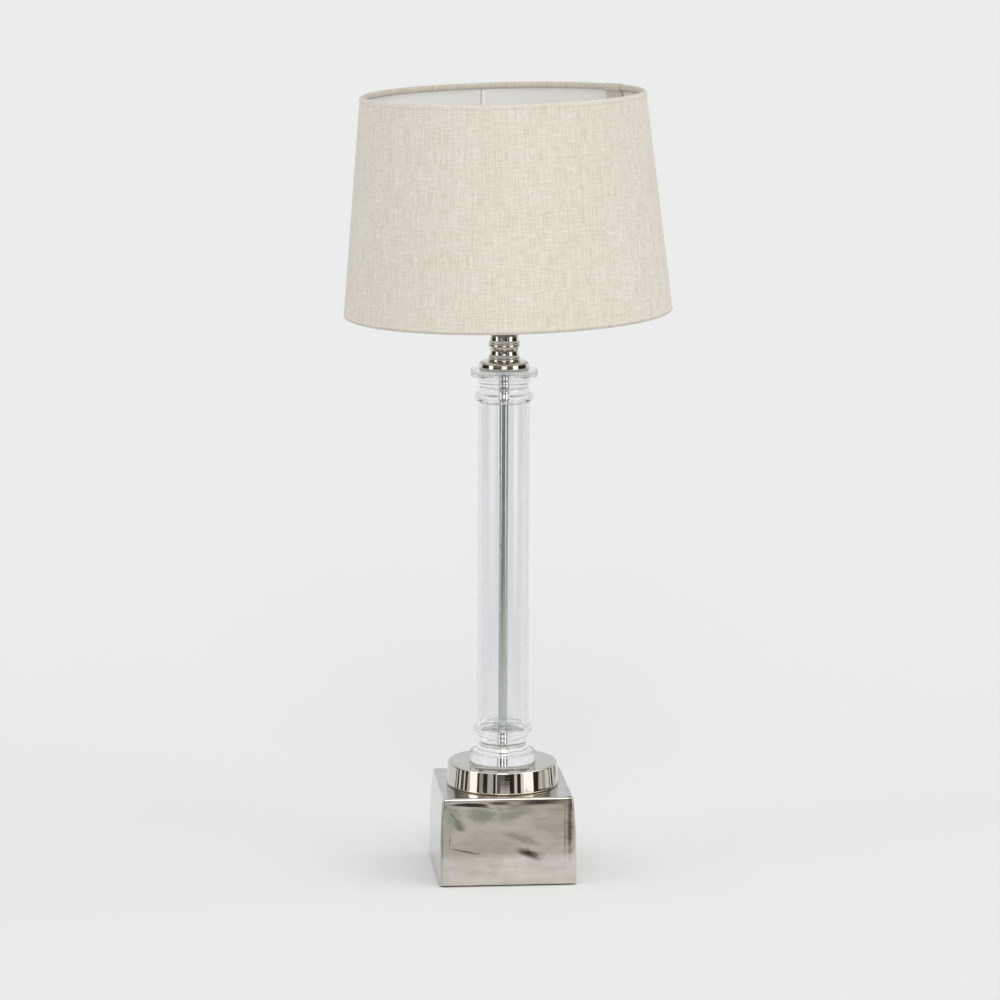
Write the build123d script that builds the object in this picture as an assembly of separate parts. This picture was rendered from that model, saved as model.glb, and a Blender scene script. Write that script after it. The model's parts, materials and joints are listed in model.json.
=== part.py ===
from build123d import *
import math
import os

# Candlestick table lamp: a nickel-plated block and disc, a glass column on a
# centre rod, a turned neck, a screw lampholder and a tapered linen shade.
# Millimetres. The origin is the centre of the resting face, +Z is up and the
# front of the lamp faces -Y.

# ---- block and what closes it ----
felt_thickness = 2.5
felt_inset = 3.0
block_lift = 1.5              # rim of the casting above the table
block_bottom_width = 145.8
block_top_width = 139.0
block_top_z = 96.0
block_upright = 24.0          # height where the walls begin to lean in
block_wall = 5.0
block_corner_radius = 2.6
block_rim_radius = 1.0
plate_thickness = 2.0
plate_gap = 0.5               # play of the plate inside the casting
boss_diameter = 12.0
boss_spacing = 104.0
screw_diameter = 4.0
screw_length = 12.0
screw_head_diameter = 8.0
screw_head_height = 1.3
screw_play = 0.2
thread_play = 0.05

# ---- cable inlet ----
inlet_z = 14.5
inlet_hole_diameter = 13.0
inlet_bore_diameter = 8.0
bush_flange_diameter = 17.0
bush_flange_thickness = 1.6

# ---- ballast and its clamp ----
ballast_diameter = 90.0
ballast_thickness = 20.0
washer_diameter = 28.0
washer_thickness = 2.0
tag_diameter = 17.5
tag_thickness = 0.8
tag_reach = 19.0
tag_width = 7.0
nut_flats = 17.0
nut_height = 8.0
rod_tail = 4.0                # rod below the nut

# ---- centre rod ----
rod_diameter = 10.0
rod_bore_diameter = 7.0
rod_play = 0.3

# ---- disc ----
disc_top_diameter = 117.6
disc_bottom_diameter = 121.6
disc_height = 24.5
disc_edge_radius = 2.0

# ---- glass column ----
gasket_thickness = 0.8
gasket_inset = 0.8
foot_ring_diameter = 71.0
foot_ring_height = 10.6
foot_waist_diameter = 50.6
foot_cove_height = 19.0
foot_collar_height = 10.4
capital_ring_diameter = 71.0
capital_ring_height = 7.8
capital_waist_diameter = 52.2
capital_cove_height = 17.6
capital_collar_height = 9.0
glass_edge_radius = 1.6
collar_overhang = 3.5         # collar beyond the tube's wall
collar_nose_height = 3.4      # the collar is widest this far above the cove
tube_outer_diameter = 55.6
tube_wall = 3.2
tube_length = 357.6
tube_seat_depth = 4.0
tube_play = 0.25

# ---- neck ----
flange_diameter = 54.0
flange_thickness = 7.9
flange_edge_radius = 3.2
flange_foot_radius = 2.1
bead_height = 3.2
bead_undercut = 1.2           # a pair's foot and head lie this far inside its beads
bead_step = 0.6               # the upper bead of a pair is this much smaller in radius
bead_seam = 0.8               # depth of the line between the two beads
first_bead_diameter = 35.0
second_bead_diameter = 34.0
third_bead_diameter = 33.4
cove_height = 9.2
cove_throat_height = 4.4      # the cove is narrowest this far above its foot
first_cove_diameter = 30.0
second_cove_diameter = 30.2
neck_top_diameter = 29.0
neck_taper_height = 7.0
neck_top_height = 4.0

# ---- lampholder ----
holder_base_diameter = 34.0
holder_diameter = 39.4
cap_height = 24.0
cap_floor = 4.0
cap_ledge_height = 3.0        # rim of the cap that centres the core
holder_wall = 2.2
holder_ledge = 2.0            # step that carries and holds the core
core_height = 16.0
core_floor = 7.0
core_play = 0.1
skirt_height = 42.0
skirt_lip = 2.4
skirt_lip_height = 2.0
shell_bore_diameter = 26.6
shell_wall = 0.5
shell_height = 26.0
shell_flange_width = 4.0
contact_diameter = 11.0
contact_thickness = 0.4
post_diameter = 3.0
post_offset = 7.5
terminal_width = 5.0
terminal_height = 4.0

# ---- shade rings on the lampholder ----
ring_diameter = 56.0
ring_height = 8.0
ring_play = 0.3
grip_count = 24
grip_diameter = 3.0
hub_thickness = 2.5
hub_rim = 4.0                 # hub beyond the rings, where the spokes are welded
hub_bore_diameter = 42.0
spoke_weld = 1.5              # spoke end inside the hub's edge

# ---- shade ----
shade_bottom_diameter = 347.6
shade_top_diameter = 300.2
shade_height = 231.4
shade_drop = 29.0             # hub's seat above the shade's bottom rim
shade_lean = 1.6              # the carrier is a little bent, so the shade leans
shade_shift = 3.9             # sideways place of the bottom rim
cover_thickness = 0.8
lining_thickness = 0.6
wire_diameter = 3.2
wire_play = 0.3
hem_flap = 4.2
spoke_diameter = 3.2
spoke_count = 3
spoke_first_angle = -90.0
slit_play = 0.25

# ---- wiring inside ----
block_way_pitch = 10.0
way_diameter = 3.0
way_count = 3
terminal_block_depth = 17.0
terminal_block_height = 13.0
terminal_block_y = 30.0       # face that the leads leave
way_screw_diameter = 2.6
way_screw_depth = 3.2
way_screw_inset = 4.5
lead_diameter = 2.2
lead_offset = 1.4             # the two leads lie side by side in the rod
lead_entry = 4.0
lead_first_run = 17.0
lead_rise_z = 32.0
lead_last_run = 6.0
earth_y = 16.0

# ---- levels worked out from the sizes above ----
plate_z = felt_thickness
plate_top_z = plate_z + plate_thickness
ceiling_z = block_top_z - block_wall
ballast_z = ceiling_z - ballast_thickness
washer_z = ballast_z - washer_thickness
tag_z = washer_z - tag_thickness
nut_z = tag_z - nut_height
rod_bottom_z = nut_z - rod_tail
disc_z = block_top_z
lower_gasket_z = disc_z + disc_height
foot_z = lower_gasket_z + gasket_thickness
foot_height = foot_ring_height + foot_cove_height + foot_collar_height
tube_z = foot_z + foot_height - tube_seat_depth
capital_z = tube_z + tube_length - tube_seat_depth
capital_height = capital_ring_height + capital_cove_height + capital_collar_height
upper_gasket_z = capital_z + capital_height
flange_z = upper_gasket_z + gasket_thickness
spindle_z = flange_z + flange_thickness
spindle_height = 6 * bead_height + 2 * cove_height + neck_taper_height + neck_top_height
holder_z = spindle_z + spindle_height
rod_top_z = holder_z + cap_floor
core_z = holder_z + cap_height - cap_ledge_height
skirt_z = holder_z + cap_height
lower_ring_z = skirt_z
hub_z = lower_ring_z + ring_height
upper_ring_z = hub_z + hub_thickness
shell_z = core_z + core_floor
shade_bottom_z = hub_z - shade_drop
way_z = plate_top_z + terminal_block_height / 2

rod_hole_radius = rod_diameter / 2 + rod_play
rod_thread_radius = rod_diameter / 2 + thread_play
tube_radius = tube_outer_diameter / 2
seat_radius = tube_radius + tube_play
collar_radius = tube_radius + collar_overhang
core_radius = holder_diameter / 2 - holder_wall
hub_radius = ring_diameter / 2 + hub_rim
shell_radius = shell_bore_diameter / 2 + shell_wall


# ---- helpers ----
def at(point):
    """A point (radius, height) on the half plane that is turned about Z."""
    return Vector(point[0], 0, point[1])


def turned(start, *steps):
    """A solid turned about Z. A step is an end point, or an arc's (middle, end)."""
    edges = []
    here = start
    for step in steps:
        if isinstance(step[0], tuple):
            middle, end = step
            edges.append(ThreePointArc(at(here), at(middle), at(end)))
        else:
            end = step
            edges.append(Line(at(here), at(end)))
        here = end
    if here != start:
        edges.append(Line(at(here), at(start)))
    return revolve(make_face(edges), Axis.Z)


def tube_between(inner_radius, outer_radius, bottom, top):
    """A plain ring or sleeve."""
    return turned(
        (inner_radius, bottom), (outer_radius, bottom), (outer_radius, top), (inner_radius, top)
    )


def outer_rims(solid, radius):
    """The round edges at this radius or beyond."""
    rims = solid.edges().filter_by(GeomType.CIRCLE)
    return rims.filter_by(lambda edge: edge.radius > radius - thread_play)


def rod_along(start, end, diameter):
    """A straight round bar between two points."""
    way = Vector(*end) - Vector(*start)
    plane = Plane(origin=start, z_dir=way)
    return extrude(plane * Circle(diameter / 2), way.length)


def grid_of_four(spacing):
    """Corner places of a square, centred on the axis."""
    half = spacing / 2
    return [(x, y) for x in (-half, half) for y in (-half, half)]


def bowed_prism(bottom_width, top_width, bottom, upright, top):
    """A square block whose walls stand upright, then bow in towards the top."""
    low = bottom_width / 2
    high = top_width / 2
    lean = low - high
    rise = top - upright
    radius = (lean ** 2 + rise ** 2) / (2 * lean)
    half_angle = math.asin(rise / radius) / 2
    middle_x = low - radius + radius * math.cos(half_angle)
    middle_z = upright + radius * math.sin(half_angle)
    edges = [
        Line(at((-low, bottom)), at((low, bottom))),
        Line(at((low, bottom)), at((low, upright))),
        ThreePointArc(at((low, upright)), at((middle_x, middle_z)), at((high, top))),
        Line(at((high, top)), at((-high, top))),
        ThreePointArc(at((-high, top)), at((-middle_x, middle_z)), at((-low, upright))),
        Line(at((-low, upright)), at((-low, bottom))),
    ]
    slab = extrude(make_face(edges), bottom_width, both=True)
    return slab & Rot(0, 0, 90) * slab


# ---- block and what closes it ----
def base_block():
    """Hollow casting with four screw bosses, a rod hole and a cable hole at the back."""
    shell = bowed_prism(block_bottom_width, block_top_width, block_lift, block_upright, block_top_z)
    corners = [e for e in shell.edges() if e.bounding_box().size.Z > block_corner_radius]
    top_edges = [e for e in shell.edges() if e.bounding_box().min.Z > block_top_z - 0.01]
    shell = fillet(corners + top_edges, block_corner_radius)
    rim = [e for e in shell.edges() if e.bounding_box().max.Z < block_lift + 0.01]
    shell = fillet(rim, block_rim_radius)
    hollow = bowed_prism(
        block_bottom_width - 2 * block_wall,
        block_top_width - 2 * block_wall,
        0,
        block_upright,
        ceiling_z,
    )
    block = shell - hollow
    boss_height = ceiling_z - plate_top_z
    for x, y in grid_of_four(boss_spacing):
        block += Pos(x, y, plate_top_z) * extrude(Circle(boss_diameter / 2), boss_height + block_wall / 2)
    screw_hole = extrude(Circle(screw_diameter / 2 + thread_play), screw_length + plate_thickness)
    for x, y in grid_of_four(boss_spacing):
        block -= Pos(x, y, plate_z) * screw_hole
    block -= Pos(0, 0, ceiling_z) * Cylinder(rod_hole_radius, 4 * block_wall)
    block -= inlet_cylinder(inlet_hole_diameter / 2, 2 * block_wall)
    return block


def inlet_cylinder(radius, reach):
    """A cylinder along the cable hole, out of the back wall by reach each way."""
    wall_middle = block_bottom_width / 2 - block_wall / 2
    return Pos(0, wall_middle, inlet_z) * Rot(90, 0, 0) * Cylinder(radius, 2 * reach)


def cable_bush():
    """Snap bush: a sleeve through the wall with a flange on each side."""
    sleeve_radius = inlet_hole_diameter / 2 - thread_play
    half_wall = block_wall / 2
    half_bush = half_wall + bush_flange_thickness
    bore = inlet_bore_diameter / 2
    flange = bush_flange_diameter / 2
    bush = turned(
        (bore, -half_bush), (flange, -half_bush), (flange, -half_wall), (sleeve_radius, -half_wall),
        (sleeve_radius, half_wall), (flange, half_wall), (flange, half_bush), (bore, half_bush),
    )
    wall_middle = block_bottom_width / 2 - half_wall
    return Pos(0, wall_middle, inlet_z) * Rot(90, 0, 0) * bush


def base_plate():
    """Steel plate inside the casting's rim, held by four screws."""
    width = block_bottom_width - 2 * block_wall - 2 * plate_gap
    plate = Pos(0, 0, plate_z) * extrude(RectangleRounded(width, width, 2 * plate_gap), plate_thickness)
    cut_height = 3 * plate_thickness
    for x, y in grid_of_four(boss_spacing):
        plate -= Pos(x, y, plate_z) * Cylinder(screw_diameter / 2 + screw_play, cut_height)
    middle_hole = Cylinder(way_screw_diameter / 2 + thread_play, cut_height)
    return plate - Pos(0, block_screw_y(), plate_z) * middle_hole


def base_screws():
    """Four flat-headed screws through the plate into the bosses."""
    screws = []
    for x, y in grid_of_four(boss_spacing):
        head = extrude(Circle(screw_head_diameter / 2), -screw_head_height)
        screw = head + extrude(Circle(screw_diameter / 2), screw_length)
        screws.append(Pos(x, y, plate_z) * screw)
    return Compound(screws)


def felt_pad():
    """Felt under the plate, with pockets for the screw heads."""
    width = block_bottom_width - 2 * block_wall - 2 * felt_inset
    pad = extrude(RectangleRounded(width, width, felt_inset), felt_thickness)
    pocket_depth = screw_head_height + screw_play
    pocket = extrude(Circle(screw_head_diameter / 2 + screw_play), -pocket_depth)
    for x, y in grid_of_four(boss_spacing):
        pad -= Pos(x, y, felt_thickness) * pocket
    head_pocket = extrude(Circle(way_screw_diameter + screw_play), -pocket_depth)
    return pad - Pos(0, block_screw_y(), felt_thickness) * head_pocket


# ---- ballast and its clamp ----
def ballast_weight():
    """Cast iron disc that keeps the lamp upright, hung under the casting's top."""
    return tube_between(rod_hole_radius, ballast_diameter / 2, ballast_z, ceiling_z)


def clamp_washer():
    """Plain washer under the ballast."""
    return tube_between(rod_hole_radius, washer_diameter / 2, washer_z, ballast_z)


def earth_tag():
    """Ring tag for the earth lead, with a tongue towards the back."""
    tongue = Pos(0, tag_reach / 2) * Rectangle(tag_width, tag_reach)
    outline = Circle(tag_diameter / 2) + tongue - Circle(rod_hole_radius)
    return Pos(0, 0, tag_z) * extrude(outline, tag_thickness)


def clamp_nut():
    """Hexagon nut that draws the whole column down on the block."""
    outline = RegularPolygon(nut_flats / 2, 6, major_radius=False) - Circle(rod_thread_radius)
    return Pos(0, 0, nut_z) * extrude(outline, nut_height)


def centre_rod():
    """Hollow rod from the nut to the lampholder."""
    return tube_between(rod_bore_diameter / 2, rod_diameter / 2, rod_bottom_z, rod_top_z)


# ---- disc ----
def plinth_disc():
    """Turned disc, a little wider at the bottom, with rounded edges."""
    low = disc_bottom_diameter / 2
    high = disc_top_diameter / 2
    disc = turned((rod_hole_radius, 0), (low, 0), (high, disc_height), (rod_hole_radius, disc_height))
    return Pos(0, 0, disc_z) * fillet(outer_rims(disc, high), disc_edge_radius)


# ---- glass column ----
def gasket(radius, level):
    """Clear washer between metal and glass."""
    return tube_between(rod_hole_radius, radius, level, level + gasket_thickness)


def glass_end(ring_radius, ring_height, waist_radius, cove_height_here, collar_height):
    """Solid glass end, ring down: ring, cove, then a nosed collar with a seat for the tube."""
    edge = glass_edge_radius
    corner = edge * (1 - math.sqrt(0.5))
    cove_top = ring_height + cove_height_here
    top = cove_top + collar_height
    shoulder = ring_radius - 2 * edge
    lip = collar_radius - edge
    nose = collar_nose_height
    floor = top - tube_seat_depth
    return turned(
        (rod_hole_radius, 0),
        (ring_radius - edge, 0),
        ((ring_radius - corner, corner), (ring_radius, edge)),
        (ring_radius, ring_height - edge),
        ((ring_radius - corner, ring_height - corner), (ring_radius - edge, ring_height)),
        (shoulder, ring_height),
        ((waist_radius, ring_height + cove_height_here / 2), (lip, cove_top)),
        ((collar_radius, cove_top + nose), (seat_radius + edge / 2, top)),
        (seat_radius, top),
        (seat_radius, floor),
        (rod_hole_radius, floor),
    )


def glass_foot():
    """Lower glass end, standing on its ring."""
    end = glass_end(
        foot_ring_diameter / 2, foot_ring_height, foot_waist_diameter / 2,
        foot_cove_height, foot_collar_height,
    )
    return Pos(0, 0, foot_z) * end


def glass_capital():
    """Upper glass end, ring up."""
    end = glass_end(
        capital_ring_diameter / 2, capital_ring_height, capital_waist_diameter / 2,
        capital_cove_height, capital_collar_height,
    )
    return Pos(0, 0, upper_gasket_z) * Rot(180, 0, 0) * end


def glass_tube():
    """Hollow glass column, seated in both ends."""
    return tube_between(tube_radius - tube_wall, tube_radius, tube_z, tube_z + tube_length)


# ---- neck ----
def neck_flange():
    """Round-edged washer on the capital."""
    radius = flange_diameter / 2
    flange = tube_between(rod_hole_radius, radius, 0, flange_thickness)
    flange = fillet(outer_rims(flange, radius).sort_by(Axis.Z)[-1:], flange_edge_radius)
    flange = fillet(outer_rims(flange, radius).sort_by(Axis.Z)[:1], flange_foot_radius)
    return Pos(0, 0, flange_z) * flange


def bead_pair(radius, bottom):
    """Outline steps of two fine beads, the upper one smaller, from the pair's foot to its head."""
    upper = radius - bead_step
    middle = bottom + bead_height
    return [
        ((radius, bottom + bead_height / 2), (radius - bead_seam, middle)),
        ((upper, middle + bead_height * 0.4), (upper - bead_undercut, middle + bead_height)),
    ]


def cove(foot_radius, throat_radius, head_radius, bottom):
    """Outline steps of a cove: almost upright up to its throat, then flaring out."""
    throat_z = bottom + cove_throat_height
    top = bottom + cove_height
    low_radius = (foot_radius + 3 * throat_radius) / 4
    high_radius = (head_radius + 3 * throat_radius) / 4
    return [
        ((low_radius, (bottom + throat_z) / 2), (throat_radius, throat_z)),
        ((high_radius, (throat_z + top) / 2), (head_radius, top)),
    ]


def neck_spindle():
    """Turned neck: three pairs of fine beads with coves between them, and a tapered top."""
    first = first_bead_diameter / 2
    second = second_bead_diameter / 2
    third = third_bead_diameter / 2
    top = neck_top_diameter / 2
    head = bead_step + bead_undercut
    z1 = 2 * bead_height
    z2 = z1 + cove_height
    z3 = z2 + 2 * bead_height
    z4 = z3 + cove_height
    z5 = z4 + 2 * bead_height
    z6 = z5 + neck_taper_height
    z7 = z6 + neck_top_height
    spindle = turned(
        (rod_thread_radius, 0),
        (first - bead_undercut, 0),
        *bead_pair(first, 0),
        *cove(first - head, first_cove_diameter / 2, second - bead_undercut, z1),
        *bead_pair(second, z2),
        *cove(second - head, second_cove_diameter / 2, third - bead_undercut, z3),
        *bead_pair(third, z4),
        ((top - bead_undercut, (z5 + z6) / 2), (top - bead_seam, z6)),
        (top, z6),
        (top, z7),
        (rod_thread_radius, z7),
    )
    return Pos(0, 0, spindle_z) * spindle


# ---- lampholder ----
def lampholder_cap():
    """Cup that screws on the rod and holds the terminals."""
    base = holder_base_diameter / 2
    rim = holder_diameter / 2
    inside = core_radius - holder_ledge
    ledge = cap_height - cap_ledge_height
    cap = turned(
        (rod_thread_radius, 0),
        (base, 0),
        (rim, ledge / 2),
        (rim, cap_height),
        (core_radius + core_play, cap_height),
        (core_radius + core_play, ledge),
        (inside, ledge),
        (inside, ledge / 2),
        (base - holder_wall, cap_floor),
        (rod_thread_radius, cap_floor),
    )
    return Pos(0, 0, holder_z) * cap


def lampholder_skirt():
    """Threaded sleeve over the core, with a lip round the mouth."""
    outside = holder_diameter / 2
    wide = core_radius + core_play
    narrow = shell_radius + core_play
    ledge = core_z + core_height - skirt_z
    lip = skirt_height - skirt_lip_height
    mouth = narrow + core_play
    skirt = turned(
        (wide, 0),
        (outside, 0),
        (outside, skirt_height),
        (mouth, skirt_height),
        (mouth, lip),
        (narrow + skirt_lip, lip),
        (narrow + skirt_lip, ledge),
        (wide, ledge),
    )
    return Pos(0, 0, skirt_z) * skirt


def lampholder_core():
    """Ceramic core with a well for the screw shell and two holes for the posts."""
    well = shell_radius + core_play
    core = turned(
        (0, 0), (core_radius, 0), (core_radius, core_height), (well, core_height),
        (well, core_floor), (0, core_floor),
    )
    for x in (0, post_offset, -post_offset):
        core -= Pos(x, 0, 0) * Cylinder(post_diameter / 2 + thread_play, 4 * core_height)
    return Pos(0, 0, core_z) * core


def screw_shell():
    """Brass shell that takes the bulb's screw, with a turned-in flange at the bottom."""
    inside = shell_bore_diameter / 2
    return Pos(0, 0, shell_z) * turned(
        (inside - shell_flange_width, 0),
        (shell_radius, 0),
        (shell_radius, shell_height),
        (inside, shell_height),
        (inside, shell_wall),
        (inside - shell_flange_width, shell_wall),
    )


def terminal_post(length):
    """A post that hangs from the well's floor, with a square terminal under the core."""
    post = extrude(Circle(post_diameter / 2), -length)
    return post + Pos(0, 0, -length) * extrude(Rectangle(terminal_width, terminal_width), -terminal_height)


def side_terminal():
    """Post under the screw shell's flange."""
    return Pos(post_offset, 0, shell_z) * terminal_post(core_floor)


def centre_contact():
    """Contact in the middle of the well, bridged under the core to its terminal."""
    tongue = Pos(0, 0, shell_z) * extrude(
        Circle(contact_diameter / 2 - post_diameter / 2), contact_thickness
    )
    stem = Pos(0, 0, core_z - contact_thickness) * extrude(
        Circle(post_diameter / 2), core_floor + contact_thickness
    )
    bridge_length = post_offset + terminal_width / 2 + post_diameter / 2
    bridge_x = (post_diameter / 2 - post_offset - terminal_width / 2) / 2
    bridge = Pos(bridge_x, 0, core_z) * extrude(
        Rectangle(bridge_length, post_diameter), -contact_thickness
    )
    terminal = Pos(-post_offset, 0, core_z) * extrude(
        Rectangle(terminal_width, terminal_width), -terminal_height
    )
    return tongue + stem + bridge + terminal


# ---- shade rings on the lampholder ----
def shade_ring(level):
    """Ring for the lampholder's outer thread, with grip notches."""
    ring = tube_between(holder_diameter / 2 + ring_play, ring_diameter / 2, level, level + ring_height)
    for index in range(grip_count):
        turn = Rot(0, 0, 360 * index / grip_count)
        notch = Pos(ring_diameter / 2 + grip_diameter / 4, 0, level + ring_height / 2)
        ring -= turn * notch * Cylinder(grip_diameter / 2, 2 * ring_height)
    return ring


# ---- shade ----
lean_slope = math.atan2(shade_bottom_diameter / 2 - shade_top_diameter / 2, shade_height)
wall_length = math.hypot(shade_bottom_diameter / 2 - shade_top_diameter / 2, shade_height)
fold_outer = wire_diameter / 2 + wire_play + cover_thickness
fold_inner = wire_diameter / 2 + wire_play
shade_place = Pos(shade_shift, 0, shade_bottom_z) * Rot(0, -shade_lean, 0)


def on_wall(depth, up):
    """A section point: depth inside the shade's outer face, and up along the wall."""
    radius = shade_bottom_diameter / 2 - depth * math.cos(lean_slope) - up * math.sin(lean_slope)
    height = up * math.cos(lean_slope) - depth * math.sin(lean_slope)
    return (radius, height)


def shade_cover():
    """Linen, rolled over both wires and glued down inside, slit where the spokes enter."""
    low = fold_outer
    high = wall_length - fold_outer
    inner_depth = 2 * fold_outer
    flap_depth = cover_thickness + lining_thickness + 2 * wire_play
    cover = turned(
        on_wall(0, low),
        on_wall(0, high),
        (on_wall(fold_outer, high + fold_outer), on_wall(inner_depth, high)),
        on_wall(inner_depth, high - fold_inner),
        on_wall(flap_depth + cover_thickness, high - hem_flap),
        on_wall(flap_depth, high - hem_flap),
        on_wall(inner_depth - cover_thickness, high - fold_inner),
        on_wall(inner_depth - cover_thickness, high),
        (on_wall(fold_outer, high + fold_inner), on_wall(cover_thickness, high)),
        on_wall(cover_thickness, low),
        (on_wall(fold_outer, low - fold_inner), on_wall(inner_depth - cover_thickness, low)),
        on_wall(inner_depth - cover_thickness, low + fold_inner),
        on_wall(flap_depth, low + hem_flap),
        on_wall(flap_depth + cover_thickness, low + hem_flap),
        on_wall(inner_depth, low + fold_inner),
        on_wall(inner_depth, low),
        (on_wall(fold_outer, low - fold_outer), on_wall(0, low)),
    )
    cover = shade_place * cover
    for start, end in spoke_lines():
        cover -= rod_along(end, start, spoke_diameter + 2 * slit_play)
    return cover


def shade_lining():
    """White backing sheet inside the linen, between the two wires."""
    near = cover_thickness + wire_play
    far = near + lining_thickness
    low = fold_outer + fold_inner + wire_play
    high = wall_length - low
    return shade_place * turned(
        on_wall(near, low), on_wall(near, high), on_wall(far, high), on_wall(far, low)
    )


def wire_ring(up):
    """Round wire in a hem."""
    radius, height = on_wall(fold_outer, up)
    section = Plane.XZ * Pos(radius, height) * Circle(wire_diameter / 2)
    return shade_place * revolve(section, Axis.Z)


def shade_hub():
    """Flat ring that the lampholder's two rings clamp."""
    return tube_between(hub_bore_diameter / 2, hub_radius, hub_z, hub_z + hub_thickness)


def spoke_lines():
    """Ends of each spoke: at the hub's edge, and at the middle of the lower wire."""
    radius, height = on_wall(fold_outer, fold_outer)
    lines = []
    for index in range(spoke_count):
        angle = math.radians(spoke_first_angle + 360 * index / spoke_count)
        weld_radius = hub_radius - spoke_weld
        start = Vector(
            weld_radius * math.cos(angle), weld_radius * math.sin(angle), hub_z + hub_thickness / 2
        )
        wire_point = shade_place * Pos(radius * math.cos(angle), radius * math.sin(angle), height)
        lines.append((start, wire_point.position))
    return lines


def shade_spokes():
    """Three wires welded between the hub and the lower ring."""
    hub = shade_hub()
    wire = wire_ring(fold_outer)
    return Compound([rod_along(start, end, spoke_diameter) - hub - wire for start, end in spoke_lines()])


# ---- wiring inside ----
def way_places():
    """Sideways places of the terminal block's ways."""
    return [(index - (way_count - 1) / 2) * block_way_pitch for index in range(way_count)]


def block_screw_y():
    """Place of the screw that holds the terminal block."""
    return terminal_block_y + terminal_block_depth / 2


def terminal_block():
    """Moulded block where the mains cable joins the lamp's own leads."""
    width = way_count * block_way_pitch
    block = Pos(-width / 2, terminal_block_y, plate_top_z) * Box(
        width, terminal_block_depth, terminal_block_height, align=Align.MIN
    )
    for x in way_places():
        way = Pos(x, block_screw_y(), way_z) * Rot(90, 0, 0)
        block -= way * Cylinder(way_diameter / 2, 2 * terminal_block_depth)
        for y in way_screw_places():
            block -= way_screw(x, y, thread_play, way_z)
    block -= fixing_screw(thread_play)
    return block


def way_screw_places():
    """Depth places of the two clamping screws of each way."""
    return [terminal_block_y + way_screw_inset, terminal_block_y + terminal_block_depth - way_screw_inset]


def way_screw(x, y, play, bottom):
    """One clamping screw, or its hole when play is given."""
    top = plate_top_z + terminal_block_height
    return Pos(x, y, bottom) * extrude(Circle(way_screw_diameter / 2 + play), top - bottom)


def way_screws():
    """Six clamping screws in the terminal block."""
    top = plate_top_z + terminal_block_height
    bottom = max(top - way_screw_depth, way_z + way_diameter / 2)
    return Compound([way_screw(x, y, 0, bottom) for x in way_places() for y in way_screw_places()])


def fixing_screw(play):
    """Screw up through the plate into the terminal block, or its hole when play is given."""
    length = (terminal_block_height - way_diameter) / 2 + plate_thickness - screw_play
    shank = extrude(Circle(way_screw_diameter / 2 + play), length)
    return Pos(0, block_screw_y(), plate_z) * shank


def block_screw():
    """Fixing screw with its flat head under the plate."""
    head = extrude(Circle(way_screw_diameter), -screw_head_height)
    return fixing_screw(0) + Pos(0, block_screw_y(), plate_z) * head


def lead(points):
    """An insulated lead along straight runs joined by arcs."""
    runs = [(Vector(*b) - Vector(*a)).length for a, b in zip(points, points[1:])]
    radii = []
    for index in range(1, len(points) - 1):
        before = Vector(*points[index]) - Vector(*points[index - 1])
        after = Vector(*points[index + 1]) - Vector(*points[index])
        turn = math.radians(before.get_angle(after))
        radii.append(0.45 * min(runs[index - 1], runs[index]) / math.tan(turn / 2))
    path = FilletPolyline(*points, radius=radii)
    print("lead radii", [round(radius, 1) for radius in radii])
    plane = Plane(origin=points[0], z_dir=Vector(*points[1]) - Vector(*points[0]))
    return sweep(plane * Circle(lead_diameter / 2), path)


def supply_lead(side, terminal_bottom):
    """Lead from an outer way, up the rod, to a terminal in the lampholder."""
    x = side * block_way_pitch * (way_count - 1) / 2
    start_y = terminal_block_y + lead_entry
    in_rod = side * lead_offset
    bend_z = terminal_bottom - lead_last_run
    return lead([
        (x, start_y, way_z),
        (x, start_y - lead_entry - lead_first_run, way_z),
        (in_rod, 0, lead_rise_z),
        (in_rod, 0, bend_z - lead_last_run),
        (side * post_offset, 0, bend_z),
        (side * post_offset, 0, terminal_bottom),
    ])


def live_lead():
    """Lead to the centre contact."""
    return supply_lead(-1, core_z - terminal_height)


def neutral_lead():
    """Lead to the screw shell."""
    return supply_lead(1, core_z - terminal_height)


def earth_lead():
    """Lead from the middle way to the earth tag."""
    return lead([
        (0, terminal_block_y + lead_entry, way_z),
        (0, earth_y, way_z),
        (0, earth_y, tag_z),
    ])


parts = {
    "felt_pad": felt_pad(),
    "base_plate": base_plate(),
    "base_screws": base_screws(),
    "base_block": base_block(),
    "cable_bush": cable_bush(),
    "ballast_weight": ballast_weight(),
    "clamp_washer": clamp_washer(),
    "earth_tag": earth_tag(),
    "clamp_nut": clamp_nut(),
    "terminal_block": terminal_block(),
    "way_screws": way_screws(),
    "block_screw": block_screw(),
    "live_lead": live_lead(),
    "neutral_lead": neutral_lead(),
    "earth_lead": earth_lead(),
    "centre_rod": centre_rod(),
    "plinth_disc": plinth_disc(),
    "lower_gasket": gasket(foot_ring_diameter / 2 - gasket_inset, lower_gasket_z),
    "glass_foot": glass_foot(),
    "glass_tube": glass_tube(),
    "glass_capital": glass_capital(),
    "upper_gasket": gasket(flange_diameter / 2 - gasket_inset, upper_gasket_z),
    "neck_flange": neck_flange(),
    "neck_spindle": neck_spindle(),
    "lampholder_cap": lampholder_cap(),
    "lampholder_core": lampholder_core(),
    "side_terminal": side_terminal(),
    "centre_contact": centre_contact(),
    "screw_shell": screw_shell(),
    "lampholder_skirt": lampholder_skirt(),
    "lower_shade_ring": shade_ring(lower_ring_z),
    "upper_shade_ring": shade_ring(upper_ring_z),
    "shade_hub": shade_hub(),
    "shade_spokes": shade_spokes(),
    "shade_bottom_wire": wire_ring(fold_outer),
    "shade_top_wire": wire_ring(wall_length - fold_outer),
    "shade_lining": shade_lining(),
    "shade_cover": shade_cover(),
}

os.makedirs("parts", exist_ok=True)
for name, shape in parts.items():
    export_step(shape, f"parts/{name}.step")
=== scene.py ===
import json
import math

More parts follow.
